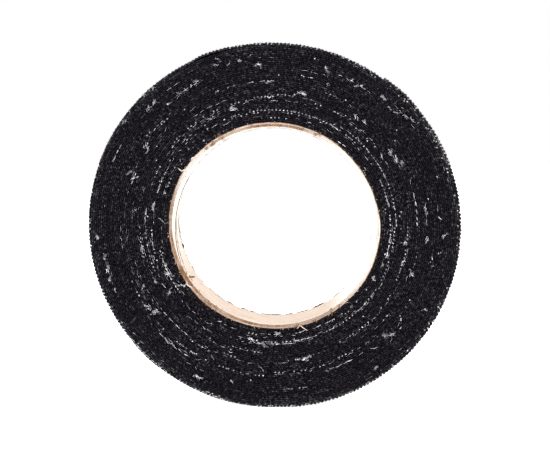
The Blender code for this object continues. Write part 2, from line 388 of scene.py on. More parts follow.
START_WINDING = RIM_WINDING - 360 * (OUTER_RADIUS - TAPE_THICKNESS - CORE_RADIUS) / TURN_PITCH
FIRST_TURN_END = START_WINDING + 360
WINDINGS = np.linspace(START_WINDING, END_ANGLE, 60000)  # close enough for the lengths between
STEP_LENGTHS = np.radians(np.diff(WINDINGS)) * (turn_radius(WINDINGS[1:]) - TAPE_THICKNESS / 2)
LENGTHS = np.concatenate([[0], np.cumsum(STEP_LENGTHS)])


def winding_at(length):
    return np.interp(length, LENGTHS, WINDINGS)


def sample_at(winding):
    """Number of the strip's sample nearest to this winding angle."""
    return int(round(float(np.interp(winding, WINDINGS, LENGTHS)) / SAMPLE_STEP))


# Rows, bare warps and tufts at random places for the back face, in the order of the tables above


def random_places(rng, count, low, spread, power):
    """Distances from the axis in mm, more of them near the core, and angles."""
    return low + spread * rng.random(count) ** power, rng.uniform(0, 360, count)


def random_rows(count, seed):
    rng = default_rng(seed)
    distance, start = random_places(rng, count, 22.0, 15.0, 1.6)
    return zip(distance, start, start + rng.uniform(5, 34, count), rng.uniform(0.25, 0.95, count))


def random_warps(count, seed):
    rng = default_rng(seed)
    distance, start = random_places(rng, count, 22.4, 13.5, 1.5)
    return zip(distance, start, start + rng.uniform(3, 9, count))


def random_tufts(count, seed):
    rng = default_rng(seed)
    distance, angle = random_places(rng, count, 22.2, 14.8, 1.2)
    return list(zip(distance, angle, 0.9 * rng.uniform(0.6, 1.3, count), rng.integers(1, 5, count)))


# The strip's thread ends, on both sides

THREAD_COUNT = int(LENGTHS[-1] / THREAD) + 2
THREAD_WINDING = winding_at((np.arange(THREAD_COUNT) + 0.5) * THREAD)
THREAD_DISTANCE = turn_radius(THREAD_WINDING) - TAPE_THICKNESS / 2
THREAD_SHIFT = default_rng(12).uniform(-1, 1, (2, THREAD_COUNT))


def thread_at(sample):
    """Number of the thread across the strip that this sample lies on."""
    return np.clip(sample // SAMPLES, 0, THREAD_COUNT - 1)


def thread_heights():
    """How far each thread end stands out, as a share of THREAD_RISE."""
    rng = default_rng(11)
    both = (2, THREAD_COUNT)
    heights = rng.uniform(0.1, 1.0, both)
    heights[:, ::2] += 0.35
    proud_share = 0.06
    return heights + (rng.random(both) < proud_share) * rng.uniform(0.3, 0.8, both)


def bare_threads():
    """How far each thread end has lost its compound, from 0 to 1 for both sides.

    Outside the rows, single ends are bare: few of them, more near the core, and most at the rim.
    """
    rng = default_rng(15)
    depth = (THREAD_DISTANCE - CORE_RADIUS) / (OUTER_RADIUS - CORE_RADIUS)
    near_core, rim = np.exp(-((depth - 0.22) / 0.16) ** 2), smooth_share(depth, 0.95, 0.985)
    scattered = 0.002 + 0.008 * near_core + 0.6 * rim
    bare = np.zeros((2, THREAD_COUNT))
    for side, rows in enumerate((BARE_ROWS, random_rows(64, 16))):
        chance = scattered * (1.2 + 1.1 * line_noise(np.arange(THREAD_COUNT), 23.0, 17 + side))
        least = np.full(THREAD_COUNT, 0.3)
        for distance, start, end, share in rows:
            on_turn = np.abs(THREAD_DISTANCE - distance * MM) <= TURN_PITCH / 2
            on_row = on_turn & ((THREAD_WINDING - start) % 360 <= end - start)
            chance[on_row], least[on_row] = share, 0.6
        second = np.arange(THREAD_COUNT) % 2 == 0
        chosen = rng.random(THREAD_COUNT) < np.where(second, chance, 0.12 * chance)
        bare[side] = chosen * (least + (1 - least) * rng.random(THREAD_COUNT))
    return bare


THREAD_HEIGHT = thread_heights()
BARE = bare_threads()
WEAR = default_rng(19).random((2, THREAD_COUNT))
RIM_WEAR = smooth_share(THREAD_DISTANCE, 0.0356, 0.0368)  # the outermost turns have been handled


def edge_line(side, length):
    """How far out the edge of the strip lies, on average."""
    wander = line_noise(length, 0.045, 21 + side) + 0.6 * line_noise(length, 0.011, 23 + side)
    return HALF_WIDTH - THREAD_RISE / 2 + EDGE_WANDER * wander


def edge_points(side, sample, share, crest):
    """Points of the strip's cut edge: share is the place across its thickness, crest its height."""
    sign = -1 if side == 0 else 1
    length = sample * SAMPLE_STEP
    thread = thread_at(sample)
    height = THREAD_RISE * THREAD_HEIGHT[side, thread] * CREST_WAVE[sample % SAMPLES]
    out = edge_line(side, length) - EDGE_DROP * (1 - crest) + height * crest
    winding = winding_at(length)
    radius = turn_radius(winding) - TAPE_THICKNESS * (1 - share) + lift(winding)
    radius = radius + THREAD_STRAY * THREAD_SHIFT[side, thread] * crest
    return place(radius, winding, sign * out)


def edge_bareness(side, sample, share):
    """How white the cut edge is at these points, from 0 to 1."""
    thread = thread_at(sample)
    patches = 0.6 + 0.5 * line_noise(sample * SAMPLE_STEP, 0.006, 27 + side)
    wear = WEAR[side, thread]
    worn = (0.25 * wear**5 + 0.13 * wear * RIM_WEAR[thread]) * patches
    white = (worn + 0.4 * BARE[side, thread]) * CREST_WEAR[sample % SAMPLES]
    return np.clip(white, 0, 1) * np.ones_like(share)


def weave_height(length, y):
    """Height of a plain weave's surface, from the middle of its top threads."""
    along, across = length / THREAD, y / THREAD
    weft, warp = np.round(along), np.round(across)
    warp_top = WEAVE_CRIMP * np.cos(np.pi * (along + warp))
    warp_top = warp_top + WEAVE_ROUND * np.sqrt(1 - (WEAVE_SPREAD * (across - warp)) ** 2)
    weft_top = -WEAVE_CRIMP * np.cos(np.pi * (across + weft))
    weft_top = weft_top + WEAVE_ROUND * np.sqrt(1 - (WEAVE_SPREAD * (along - weft)) ** 2)
    uneven = THREAD_UNEVEN * line_noise(weft, 1.0, 31) + THREAD_UNEVEN * line_noise(warp, 1.0, 32)
    height = np.maximum(warp_top, weft_top) - WEAVE_ROUND + uneven
    compound = -0.00003 + 0.00005 * plane_noise(length, y, 0.0031, 33)
    return np.maximum(height, compound) + 0.00002 * plane_noise(length, y, 0.0009, 34)


def tooth_height(sample, y):
    """How far the thread ends rise above the tread near its two edges."""
    thread = thread_at(sample)
    side = (y > 0).astype(int)
    size = 0.2 + 0.85 * THREAD_HEIGHT[side, thread + np.zeros_like(side)]
    size = size * at_angle(TOOTH_SHARES, winding_at(sample * SAMPLE_STEP))
    near_edge = smooth_share(np.abs(y), HALF_WIDTH - TOOTH_REACH, HALF_WIDTH - EDGE_SOFTNESS)
    return TOOTH * size * TOOTH_WAVE[sample % len(TOOTH_WAVE)] * near_edge


def tread_bareness(length, y, height):
    """How worn the tread is: on the crests of its threads, at its two edges, and in patches."""
    slant, rise = 0.8 * length + 0.6 * y, 0.8 * y - 0.6 * length
    patches = 0.5 + 0.45 * plane_noise(slant, rise, 0.0055, 35)
    patches = np.clip(patches + 0.35 * plane_noise(slant, rise, 0.0017, 36), 0, 1)
    threads = 0.5 + 0.5 * plane_noise(length, y, THREAD * 1.3, 37)
    crest = smooth_share(height, -0.00001, 0.00006)
    worn = crest * patches**2 * threads**2 * 0.6
    edges = smooth_share(np.abs(y), HALF_WIDTH - 0.0006, HALF_WIDTH - EDGE_SOFTNESS)
    return np.clip(worn + 0.3 * edges * threads * (0.4 + patches), 0, 1)


# Meshes from rows of points


def add_object(name, points, faces, material, mark=None):
    """A smooth-shaded object; mark, one value for each point, is read by some of the materials."""
    data = bpy.data.meshes.new(name)
    data.from_pydata(points.reshape(-1, 3), [], faces)
    data.update()
    data.shade_smooth()
    data.materials.append(material)
    if mark is not None:
        data.attributes.new("mark", "FLOAT", "POINT").data.foreach_set("value", mark.ravel())
    made = bpy.data.objects.new(name, data)
    bpy.context.scene.collection.objects.link(made)
    return made


def grid_faces(rows, columns):
    """Four corners of each cell of a tube of points, whose last column joins its first."""
    row = np.arange(rows - 1)[:, None]
    column = np.arange(columns)
    following = (column + 1) % columns
    corners = [row * columns + column, row * columns + following]
    corners += [(row + 1) * columns + following, (row + 1) * columns + column]
    return np.stack(np.broadcast_arrays(*corners), axis=-1).reshape(-1, 4)


def tube_faces(rows, columns):
    """The faces of a closed tube of points: its wall, and a cap at each end."""
    faces = grid_faces(rows, columns).tolist()
    faces.append(list(reversed(range(columns))))
    faces.append([(rows - 1) * columns + column for column in range(columns)])
    return faces


def ride_on_roll(piece):
    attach(piece, "roll")


# The tape


def build_strip(name, first, last, outer_columns, inner_columns, material):
    """The tape between two samples: a closed ring of points at each, and a face at each end."""
    sample = np.arange(first, last + 1)[:, None]
    length = sample * SAMPLE_STEP
    winding = winding_at(length)
    fronts, backs = edge_line(0, length) - EDGE_DROP, edge_line(1, length) - EDGE_DROP
    outer_share, inner_share = np.linspace(-1, 1, outer_columns), np.linspace(1, -1, inner_columns)
    outer_y, inner_y = [
        np.where(share < 0, share * fronts, share * backs) for share in (outer_share, inner_share)
    ]
    radius = turn_radius(winding) + lift(winding)
    outer_top, outer_bare = np.zeros_like(outer_y), np.zeros_like(outer_y)
    inner_top = np.zeros_like(inner_y)
    if outer_columns > 2:
        weave = weave_height(length, outer_y)
        outer_top = weave + tooth_height(sample, outer_y)
        outer_bare = tread_bareness(length, outer_y, weave)
    if inner_columns > 2:
        inner_top = 0.6 * weave_height(length + THREAD, inner_y)
    outer = place(radius + outer_top, winding, outer_y)
    above_core = np.where(winding < FIRST_TURN_END, TURN_PITCH * (winding - START_WINDING) / 360, 0)
    inner = place(radius - TAPE_THICKNESS - above_core - inner_top, winding, inner_y)
    front = edge_points(0, sample, EDGE_SHARES, EDGE_CRESTS)
    back = edge_points(1, sample, EDGE_SHARES[::-1], EDGE_CRESTS[::-1])
    ring = np.concatenate([front, outer, back, inner], axis=1)
    front_bare, back_bare = [edge_bareness(side, sample, EDGE_SHARES) for side in (0, 1)]
    bareness = np.concatenate([front_bare, outer_bare, back_bare, np.zeros_like(inner_y)], axis=1)
    return add_object(name, ring, tube_faces(*ring.shape[:2]), material, bareness)


# Fibres. On a side face a fibre's points are distances from the axis, angles, and heights above the
# face.

YARN_TAPER = (0.4, 0.9, 1.0, 1.0, 0.9, 0.35)
LUMP_TAPER = (0.35, 0.85, 1.0, 0.8, 0.3)
HAIR_TAPER = (1.0, 0.85, 0.6, 0.25)


def fibre_part(paths, radii, taper, sides, rng):
    """Points and faces of thin closed tubes along rows of points. Sides is 4 or 6."""
    ahead = np.gradient(paths, axis=1)
    ahead /= np.linalg.norm(ahead, axis=2, keepdims=True) + 1e-12
    reference = np.where(np.abs(ahead[..., 1:2]) > 0.8, [1.0, 0, 0], [0, 1.0, 0])
    across = np.cross(ahead, reference)
    across /= np.linalg.norm(across, axis=2, keepdims=True)
    up = np.cross(across, ahead)
    count, steps = paths.shape[:2]
    reach = radii[:, None] * np.array(taper) * rng.uniform(0.75, 1.25, (count, steps))
    reach = reach[..., None, None]
    turn = (np.arange(sides) * 2 * np.pi / sides)[:, None]
    rings = paths[:, :, None] + reach * (across[:, :, None] * np.cos(turn) + up[:, :, None] * np.sin(turn))
    rings[..., 2] = np.maximum(rings[..., 2], 0)
    cap = np.array([[0, k, k + 1, k + 2] for k in range(1, sides - 2, 2)])
    last_cap = cap[:, ::-1] + (steps - 1) * sides
    one = np.concatenate([grid_faces(steps, sides)[:, ::-1], cap, last_cap])
    faces = one + (np.arange(count) * steps * sides)[:, None, None]
    return rings.reshape(-1, 3), faces.reshape(-1, 4)


def add_fibres(name, parts, material):
    """One object of several fibre parts."""
    points, faces = zip(*parts)
    starts = np.cumsum([0] + [len(part) for part in points])
    faces = np.concatenate([part + start for part, start in zip(faces, starts)])
    return add_object(name, np.concatenate(points), faces.tolist(), material)


def wander(heading, length, bend, steps, rng):
    """Offsets along crooked lines through the origin, one line for each heading."""
    turn = np.cumsum(rng.normal(0, 1, (len(heading), steps)) * bend, axis=1)
    way = heading[:, None] + turn - turn.mean(axis=1, keepdims=True)
    step = (length / (steps - 1))[:, None]
    along, aside = np.cumsum(np.cos(way) * step, axis=1), np.cumsum(np.sin(way) * step, axis=1)
    return along - along.mean(axis=1, keepdims=True), aside - aside.mean(axis=1, keepdims=True)


def on_side(side, radius, angle, along, aside, height):
    """Paths on a side face: along runs with the turn, aside outwards, and height from the face."""
    distance = radius[:, None] + aside
    y = (HALF_WIDTH + height) * (2 * side - 1)
    return place(distance, angle[:, None] + np.degrees(along / distance), y)


def side_yarns(side, radius, angle, heading, length, thickness, rise, rng, bend=0.45):
    """Crooked yarns that lie on a side face; rise, one for all or one each, is how far they stand off."""
    steps = len(YARN_TAPER)
    along, aside = wander(heading, length, bend, steps, rng)
    rise = np.broadcast_to(rise, len(radius))[:, None]
    height = 0.3 * thickness[:, None] + rise * rng.uniform(0, 1, (len(radius), steps))
    return fibre_part(on_side(side, radius, angle, along, aside, height), thickness, YARN_TAPER, 6, rng)


def bare_end_parts(side, first, last, rng):
    """White beads and short hairs at the bare thread ends between two samples."""
    threads = np.arange(first // SAMPLES, last // SAMPLES)
    threads = threads[BARE[side, threads] > BARE_ENOUGH]
    winding = THREAD_WINDING[threads]
    radius = THREAD_DISTANCE[threads] + lift(winding) + rng.normal(0, 0.00004, len(threads))
    standing = edge_line(side, (threads + 0.5) * THREAD) - HALF_WIDTH
    standing = (standing + THREAD_RISE * THREAD_HEIGHT[side, threads])[:, None]
    size = BARE[side, threads] * rng.uniform(0.8, 1.2, len(threads))
    heading = rng.normal(0, 0.8, len(threads))
    along, aside = wander(heading, BEAD_LENGTH * size, 0.25, len(LUMP_TAPER), rng)
    beads = on_side(side, radius, winding, along, aside, standing - 0.00002)
    parts = [fibre_part(beads, BEAD_RADIUS * size, LUMP_TAPER, 6, rng)]
    for _ in range(2):
        heading = rng.normal(0, 1.1, len(threads))
        length = rng.uniform(0.00015, 0.00042, len(threads))
        along, aside = wander(heading, length, 0.4, len(HAIR_TAPER), rng)
        shift = rng.normal(0, 0.00008, (len(threads), 1))
        height = standing + rng.uniform(-0.00002, 0.00012, (len(threads), len(HAIR_TAPER)))
        paths = on_side(side, radius, winding, along + shift, aside - shift, height)
        parts.append(fibre_part(paths, rng.uniform(0.000014, 0.00003, len(threads)), HAIR_TAPER, 4, rng))
    return parts


def tuft_parts(side, tufts, rng):
    """Tangled loose threads, thick ones and thin ones, at each of the tufts."""
    leans = rng.normal(0, 0.55, len(tufts))
    rows = [(*row[:3], lean) for row, lean in zip(tufts, leans) for _ in range(int(1.3 * row[3]))]
    distance, angle, size, lean = np.array(rows, dtype=float).T
    count = len(rows)
    size = size * MM
    far, off = size * rng.uniform(-0.75, 0.75, count), size * rng.normal(0, 0.18, count)
    radius = distance * MM + far * np.sin(lean) + off * np.cos(lean)
    angle = angle + np.degrees((far * np.cos(lean) - off * np.sin(lean)) / radius)
    heading = lean + rng.normal(0, 0.4, count)
    length = size * rng.uniform(0.4, 1.3, count)
    thickness = rng.uniform(0.000018, 0.00004, count)
    parts = [side_yarns(side, radius, angle, heading, length, thickness, 0.00016, rng)]
    heading = heading + rng.normal(0, 0.5, count)
    thin = rng.uniform(0.000012, 0.000024, count)
    parts.append(side_yarns(side, radius, angle, heading, 1.3 * length, thin, 0.00025, rng, 0.7))
    return parts


def stroke_part(side, count, rng):
    """Single loose threads that lie nearly along the turns."""
    radius = (22.4 + 14.5 * rng.random(count) ** 1.9) * MM
    angle, heading = rng.uniform(0, 360, count), rng.normal(0, 0.35, count)
    length, thickness = rng.uniform(0.0004, 0.0018, count), 0.00001 + 0.00004 * rng.random(count) ** 1.6
    return side_yarns(side, radius, angle, heading, length, thickness, 0.00012, rng, 0.3)


def bare_warp_parts(side, warps, share, gap, rng):
    """White threads that lie along the turns, in broken lengths of up to 1.5 mm.

    Share is how thick they are, and gap the longest way from one to the next, in their own lengths.
    """
    pieces = []
    for distance, start, end in warps:
        at = turn_radius(start) - TAPE_THICKNESS / 2
        at -= TURN_PITCH * round(float(at - distance * MM) / TURN_PITCH)
        position = start
        while position < end:
            length = rng.uniform(0.0004, 0.0015)
            sweep = math.degrees(length / at)
            pieces.append((at + rng.normal(0, 0.00004), position + sweep / 2, length))
            position += sweep * rng.uniform(1.1, gap)
    count = len(pieces)
    radius, angle, length = np.array(pieces).T
    thickness = share * rng.uniform(0.000025, 0.00006, count)
    heading = rng.normal(0, 0.1, count)
    parts = [side_yarns(side, radius, angle, heading, length, thickness, 0.0001, rng, 0.12)]
    thin = share * rng.uniform(0.000015, 0.00003, count)
    parts.append(side_yarns(side, radius, angle, 3 * heading, 0.8 * length, thin, 0.00022, rng, 0.4))
    return parts


def tread_part(first, last, rng):
    """White specks and short threads on the tread between two samples."""
    count = int(TREAD_LINT * (last - first) * SAMPLE_STEP)
    length_at = rng.uniform(first, last, count) * SAMPLE_STEP
    winding = winding_at(length_at)
    across = rng.uniform(-0.97, 0.97, count) * HALF_WIDTH
    heading = rng.choice([0, np.pi / 2], count) + rng.normal(0, 0.5, count)
    along, aside = wander(heading, rng.uniform(0.0003, 0.0014, count), 0.4, len(YARN_TAPER), rng)
    surface = (turn_radius(winding) + lift(winding))[:, None]
    height = surface + rng.uniform(-0.00001, 0.00013, along.shape)
    paths = place(height, winding[:, None] + np.degrees(along / height), across[:, None] + aside)
    return fibre_part(paths, rng.uniform(0.00002, 0.00006, count), YARN_TAPER, 6, rng)


def hair_parts(first, last, rng):
    """Short dark fibres that stand out of the strip's two edges and its tread."""
    parts = []
    for side, count_per_metre in ((-1, EDGE_HAIRS), (1, EDGE_HAIRS), (0, TREAD_HAIRS)):
        count = int(count_per_metre * (last - first) * SAMPLE_STEP)
        winding = winding_at(rng.uniform(first, last, count) * SAMPLE_STEP)
        if side == 0:
            across = rng.uniform(-0.95, 0.95, count) * HALF_WIDTH
        else:
            across = side * (HALF_WIDTH - rng.uniform(0.0, 0.0004, count))
        share = np.linspace(0, 1, len(HAIR_TAPER))
        length = rng.uniform(0.00012, 0.00048, count)[:, None]
        lean = rng.normal(0, 0.7, (count, 1)) + 0.5 * share * rng.normal(0, 1, (count, 1))
        slope = rng.normal(0, 0.5, (count, 1))
        start = (turn_radius(winding) + lift(winding))[:, None] - 0.00003
        radius = start + length * share * np.cos(lean)
        angle = winding[:, None] + np.degrees(length * share * np.sin(lean) / radius)
        paths = place(radius, angle, across[:, None] + length * share * np.sin(slope) * 0.6)
        parts.append(fibre_part(paths, rng.uniform(0.000012, 0.000026, count), HAIR_TAPER, 4, rng))
    return parts


# Materials


def set_inputs(tree, node, inputs):
    """Each input is given as a value or as the socket that feeds it."""
    for name, value in inputs.items():
        if isinstance(value, bpy.types.NodeSocket):
            tree.links.new(value, node.inputs[name])
        else:
            node.inputs[name].default_value = value


def add_node(tree, kind, inputs, **settings):
    """The outputs of a new shader node."""
    node = tree.nodes.new("ShaderNode" + kind)
    for name, value in settings.items():
        setattr(node, name, value)
    set_inputs(tree, node, inputs)
    return node.outputs


def new_material(name, roughness, specular):
    """A material, its node tree and its shader."""
    made = bpy.data.materials.new(name)
    made.use_nodes = True
    shader = made.node_tree.nodes["Principled BSDF"]
    set_inputs(made.node_tree, shader, {"Roughness": roughness, "Specular IOR Level": specular})
    return made, made.node_tree, shader


def noise_node(tree, scale, detail, roughness=0.5, stretch=(1, 1, 1)):
    """A noise texture in object space, in cycles per metre."""
    position = add_node(tree, "TexCoord", {})["Object"]
    position = add_node(tree, "Mapping", {"Vector": position, "Scale": stretch})["Vector"]
    inputs = {"Vector": position, "Scale": scale, "Detail": detail, "Roughness": roughness}
    return add_node(tree, "TexNoise", inputs)["Fac"]


def ramp_node(tree, source, stops):
    ramp = tree.nodes.new("ShaderNodeValToRGB")
    elements = ramp.color_ramp.elements
    while len(elements) < len(stops):
        elements.new(0.5)
    for element, (position, colour) in zip(elements, stops):
        element.position = position
        element.color = (*colour, 1)
    tree.links.new(source, ramp.inputs["Fac"])
    return ramp.outputs["Color"]


def mix_node(tree, share, base, over):
    """The colour base with a share of the colour over."""
    return add_node(tree, "Mix", {0: share, 6: base, 7: (*over, 1)}, data_type="RGBA")[2]


def range_node(tree, source, low, high, to_low, to_high):
    limits = {"From Min": low, "From Max": high, "To Min": to_low, "To Max": to_high}
    return add_node(tree, "MapRange", {"Value": source, **limits})["Result"]


def mark_node(tree):
    """The value that add_object stores at each point."""
    return add_node(tree, "Attribute", {}, attribute_name="mark")["Fac"]


def bump_node(tree, height, distance, strength):
    return add_node(tree, "Bump", {"Height": height, "Distance": distance, "Strength": strength})["Normal"]


def tape_material():
    """Cotton filled with black compound, and grey where the compound has worn off the threads."""
    made, tree, shader = new_material("tape_cloth", 0.62, 0.015)
    grain = noise_node(tree, 3400, 3, 0.75)
    black, dark = (0.0006, 0.0005, 0.0007), (0.0059, 0.0051, 0.0071)
    grey, light = (0.027, 0.0236, 0.03), (0.08, 0.075, 0.087)
    cloth = ramp_node(tree, grain, [(0.41, black), (0.5, dark), (0.66, grey), (0.82, light)])
    grainy = range_node(tree, grain, 0.35, 0.65, 0.35, 1.6)
    worn = add_node(tree, "Math", {0: mark_node(tree), 1: grainy}, operation="MULTIPLY")[0]
    set_inputs(tree, shader, {
        "Base Color": mix_node(tree, worn, cloth, (0.33, 0.32, 0.34)),
        "Roughness": range_node(tree, noise_node(tree, 240, 3), 0.3, 0.7, 0.48, 0.8),
        "Normal": bump_node(tree, grain, 0.00006, 0.9),
    })
    return made


def cotton_material():
    """Bare cotton fibre, greyer where some of the compound is left."""
    made, tree, shader = new_material("cotton_lint", 0.9, 0.1)
    stops = [(0.32, (0.13, 0.126, 0.134)), (0.48, (0.48, 0.47, 0.485)), (0.6, (0.92, 0.91, 0.92))]
    set_inputs(tree, shader, {"Base Color": ramp_node(tree, noise_node(tree, 1100, 3, 0.6), stops)})
    return made


def paper_material(name, stops, scale, stretch, patch_colour, patch_share, torn_and_lit_colour):
    """Paper with fibres that run one way, and patches.

    A mark below 0 says how torn and pale the paper is, where the pale side towards +X is a painted
    highlight, and one above 0 how deep a painted shade next to the tape is, brown and then near-black.
    """
    made, tree, shader = new_material(name, 0.88, 0.12)
    fibres = noise_node(tree, scale, 6, 0.7, stretch)
    share = range_node(tree, noise_node(tree, 190, 4, 0.6), 0.5, 0.72, 0.0, patch_share)
    colour = mix_node(tree, share, ramp_node(tree, fibres, stops), patch_colour)
    mark = mark_node(tree)
    # The torn colour, which is also a painted highlight, then the painted shade by the tape, brown and then
    # near-black
    for none, full, mark_colour in ((0.0, -1.0, torn_and_lit_colour), (0.0, 0.5, BROWN), (0.5, 1.0, SHADE_BLACK)):
        colour = mix_node(tree, range_node(tree, mark, none, full, 0.0, 1.0), colour, mark_colour)
    set_inputs(tree, shader, {"Base Color": colour, "Normal": bump_node(tree, fibres, 0.00008, 0.8)})
    return made


# Core


def build_ply(name, inner, thickness, seam_angle, stand_out, fray, material, seed):
    """One paper strip bent round into a tube, with a slanting butt seam and rough cut edges."""
    around, wall_rows = 640, 26
    share = np.linspace(0, 1, around)[:, None]
    wall = np.linspace(-1, 1, wall_rows)[1:-1]
    edge_shares = np.array([0.0, 0.15, 0.35, 0.55, 0.75, 0.9, 1.0])
    edge_crests = np.array([0.0, 0.8, 1.0, 0.95, 0.85, 0.6, 0.1])
    depth = np.concatenate([edge_shares, np.ones(wall.size), edge_shares[::-1], np.zeros(wall.size)])
    ends = np.ones(edge_shares.size)
    y_share = np.concatenate([-ends, wall, ends, wall[::-1]])
    crest = np.concatenate([edge_crests, 0 * wall, edge_crests[::-1], 0 * wall])
    middle = inner + thickness / 2
    half_gap = math.degrees(SEAM_GAP / 2 / math.cos(math.radians(SEAM_SLANT)) / middle)
    length = FULL_TURN * middle * share
    rough = plane_noise(length, 0.004 * depth + 0.01 * y_share, 0.0006, seed)
    rough = rough + 0.8 * plane_noise(length, 0.01 * np.sign(y_share), 0.0021, seed + 1)
    reach = HALF_WIDTH + stand_out - PLY_BLUNT * (1 - crest) + fray * rough * crest
    y = y_share * np.where(np.abs(y_share) == 1, reach, HALF_WIDTH - PLY_BLUNT)
    start = seam_angle - np.degrees(y / middle)
    angle = start + half_gap + share * (360 - 2 * half_gap)
    uneven = plane_noise(length, y, 0.0042, seed + 2)
    radius = inner + thickness * depth + 0.00003 * uneven * (1 - depth)
    ring = place(radius, angle, y)
    # Below 0: torn paper, and a painted highlight on the side towards +X
    if name == "core_liner_paper":
        mark = -at_angle(TORN_AND_LIT_LINER, angle)
    else:
        # Painted shade next to the tape: the plies turn brown and then near-black from this depth out to
        # the core's outer face
        shade_edge = CORE_RADIUS - at_angle(SHADE_BY_TAPE, angle) * MM + SHADE_BLUR * rough
        mark = smooth_share(radius, shade_edge - SHADE_BLUR, shade_edge + SHADE_BLUR)
        mark = np.where(mark > 0, mark, -np.clip(at_angle(TORN_AND_LIT_BOARD, angle) + 0.3 * uneven, 0, 1))
    return add_object(name, ring, tube_faces(*ring.shape[:2]), material, mark)


def torn_fibre_parts(rng):
    """Fibres that stand out of the core's cut ends, and the torn flaps on the front one."""
    steps = len(YARN_TAPER)
    parts = []
    for line, thickness in TORN_FLAPS:
        angle, distance = np.array(line, dtype=float).T
        share, corners = np.linspace(0, 1, steps), np.linspace(0, 1, len(line))
        angle, distance = np.interp(share, corners, angle), np.interp(share, corners, distance) * MM
        height = 0.0001 + 0.0002 * np.sin(np.pi * share)
        path = place(distance, angle, -HALF_WIDTH - height)[None]
        parts.append(fibre_part(path, np.array([thickness * MM]), YARN_TAPER, 6, rng))
    count = TORN_FIBRES
    for side in (0, 1):
        radius = rng.uniform(CORE_INNER + 0.00003, CORE_RADIUS, count)
        angle, heading = rng.uniform(0, 360, count), rng.uniform(0, 2 * np.pi, count)
        length, thickness = rng.uniform(0.0001, 0.0005, count), rng.uniform(0.000012, 0.00004, count)
        rise = rng.uniform(0.00002, 0.00022, count)
        parts.append(side_yarns(side, radius, angle, heading, length, thickness, rise, rng))
    return parts


def uneven_line(start, end, thickness, seed):
    """A fibre part for a long line of uneven thickness: start and end are radius, angle and y."""
    share = np.linspace(0, 1, 60)
    radius, angle, y = [a + (b - a) * share for a, b in zip(start, end)]
    angle = angle + 0.25 * line_noise(share, 0.11, seed)
    radius = radius + 0.00003 * line_noise(share, 0.07, seed + 1)
    pointed = np.sqrt(np.sin(np.pi * (0.01 + 0.98 * share)))
    taper = (0.75 + 0.4 * line_noise(share, 0.09, seed + 2)) * pointed
    path = place(radius, angle, np.clip(y, 0.00004 - HALF_WIDTH, HALF_WIDTH - 0.00004))
    return fibre_part(path[None], np.array([thickness / 2]), taper, 6, default_rng(seed))


def wall_line(start_angle, start_y, end_angle, end_y, thickness, seed):
    """A line on the inside of the core."""
    radius = CORE_INNER - 0.00004
    start, end = (radius, start_angle, start_y * MM), (radius, end_angle, end_y * MM)
    return uneven_line(start, end, 1.5 * thickness * MM, seed)


def dark_line_parts(rng):
    """Dark lines and spots inside the core and along its inner edge at the back."""
    # The seam lines are coloured dark as the painted shadow of the liner's raised seam edge
    parts = [wall_line(*line, 200 + 5 * number) for number, line in enumerate(WALL_LINES)]
    for number, (*angles, thickness) in enumerate(RIM_LINES):
        start, end = [(CORE_INNER - 0.0001, angle, HALF_WIDTH) for angle in angles]
        parts.append(uneven_line(start, end, 3.2 * thickness * MM, 300 + 5 * number))
    for angle, y, size in GLUE_SPOTS:
        along = np.linspace(-0.5, 0.5, len(LUMP_TAPER)) * size * MM
        path = place(CORE_INNER - 0.00002, angle + np.degrees(along / CORE_INNER), y * MM + 0.3 * along)
        parts.append(fibre_part(path[None], np.array([0.3 * size * MM]), LUMP_TAPER, 6, rng))
    return parts


def burr_part(rng):
    """Frayed brown fibres along the core's inner edge at the back."""
    count = int(2 * math.pi * CORE_INNER / BURR_SPACING)
    angle = rng.uniform(0, 360, count)
    along, aside = wander(rng.normal(0, 0.12, count), rng.uniform(0.0006, 0.0022, count), 0.16, 6, rng)
    radius = CORE_INNER + rng.normal(-0.00002, 0.00003, (count, 1)) + aside
    paths = place(radius, angle[:, None] + np.degrees(along / CORE_INNER), HALF_WIDTH - 0.00003)
    return fibre_part(paths, rng.uniform(0.000015, 0.00004, count), YARN_TAPER, 6, rng)


def build_core():
    papers = {name: paper_material(name, *values) for name, values in PAPERS.items()}
    outer = CORE_RADIUS
    for seed, (node, (slot, paper, thickness, *ends)) in enumerate(reversed(PLIES.items()), 4):
        inner = outer - thickness
        ply = build_ply(node + "_paper", inner, thickness, *ends, papers[paper], 10 * seed)
        ride_on_roll(ply)
        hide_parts(node)
        outer = inner - PLY_GAP

    rng = default_rng(91)
    fibres = torn_fibre_parts(rng)
    ride_on_roll(add_fibres("core_torn_fibres", fibres, papers["liner_paper"]))
    torn = [burr_part(rng), *tuft_parts(0, TORN_PATCHES, rng), wall_line(*TORN_STRIP, 400)]
    ride_on_roll(add_fibres("core_torn_board", torn, papers["torn_board"]))
    # Glue spots, dark lines at the back edge, and the seam lines, whose darkness is painted shadow
    ride_on_roll(add_fibres("core_dark_lines", dark_line_parts(rng), papers["glue_and_shade"]))


def add_aimed(name, data, location, aim):
    """A lamp or camera that is turned towards its aim."""
    made = bpy.data.objects.new(name, data)
    made.location = location
    made.rotation_euler = (aim - location).to_track_quat("-Z", "Y").to_euler()
    bpy.context.scene.collection.objects.link(made)
    return made


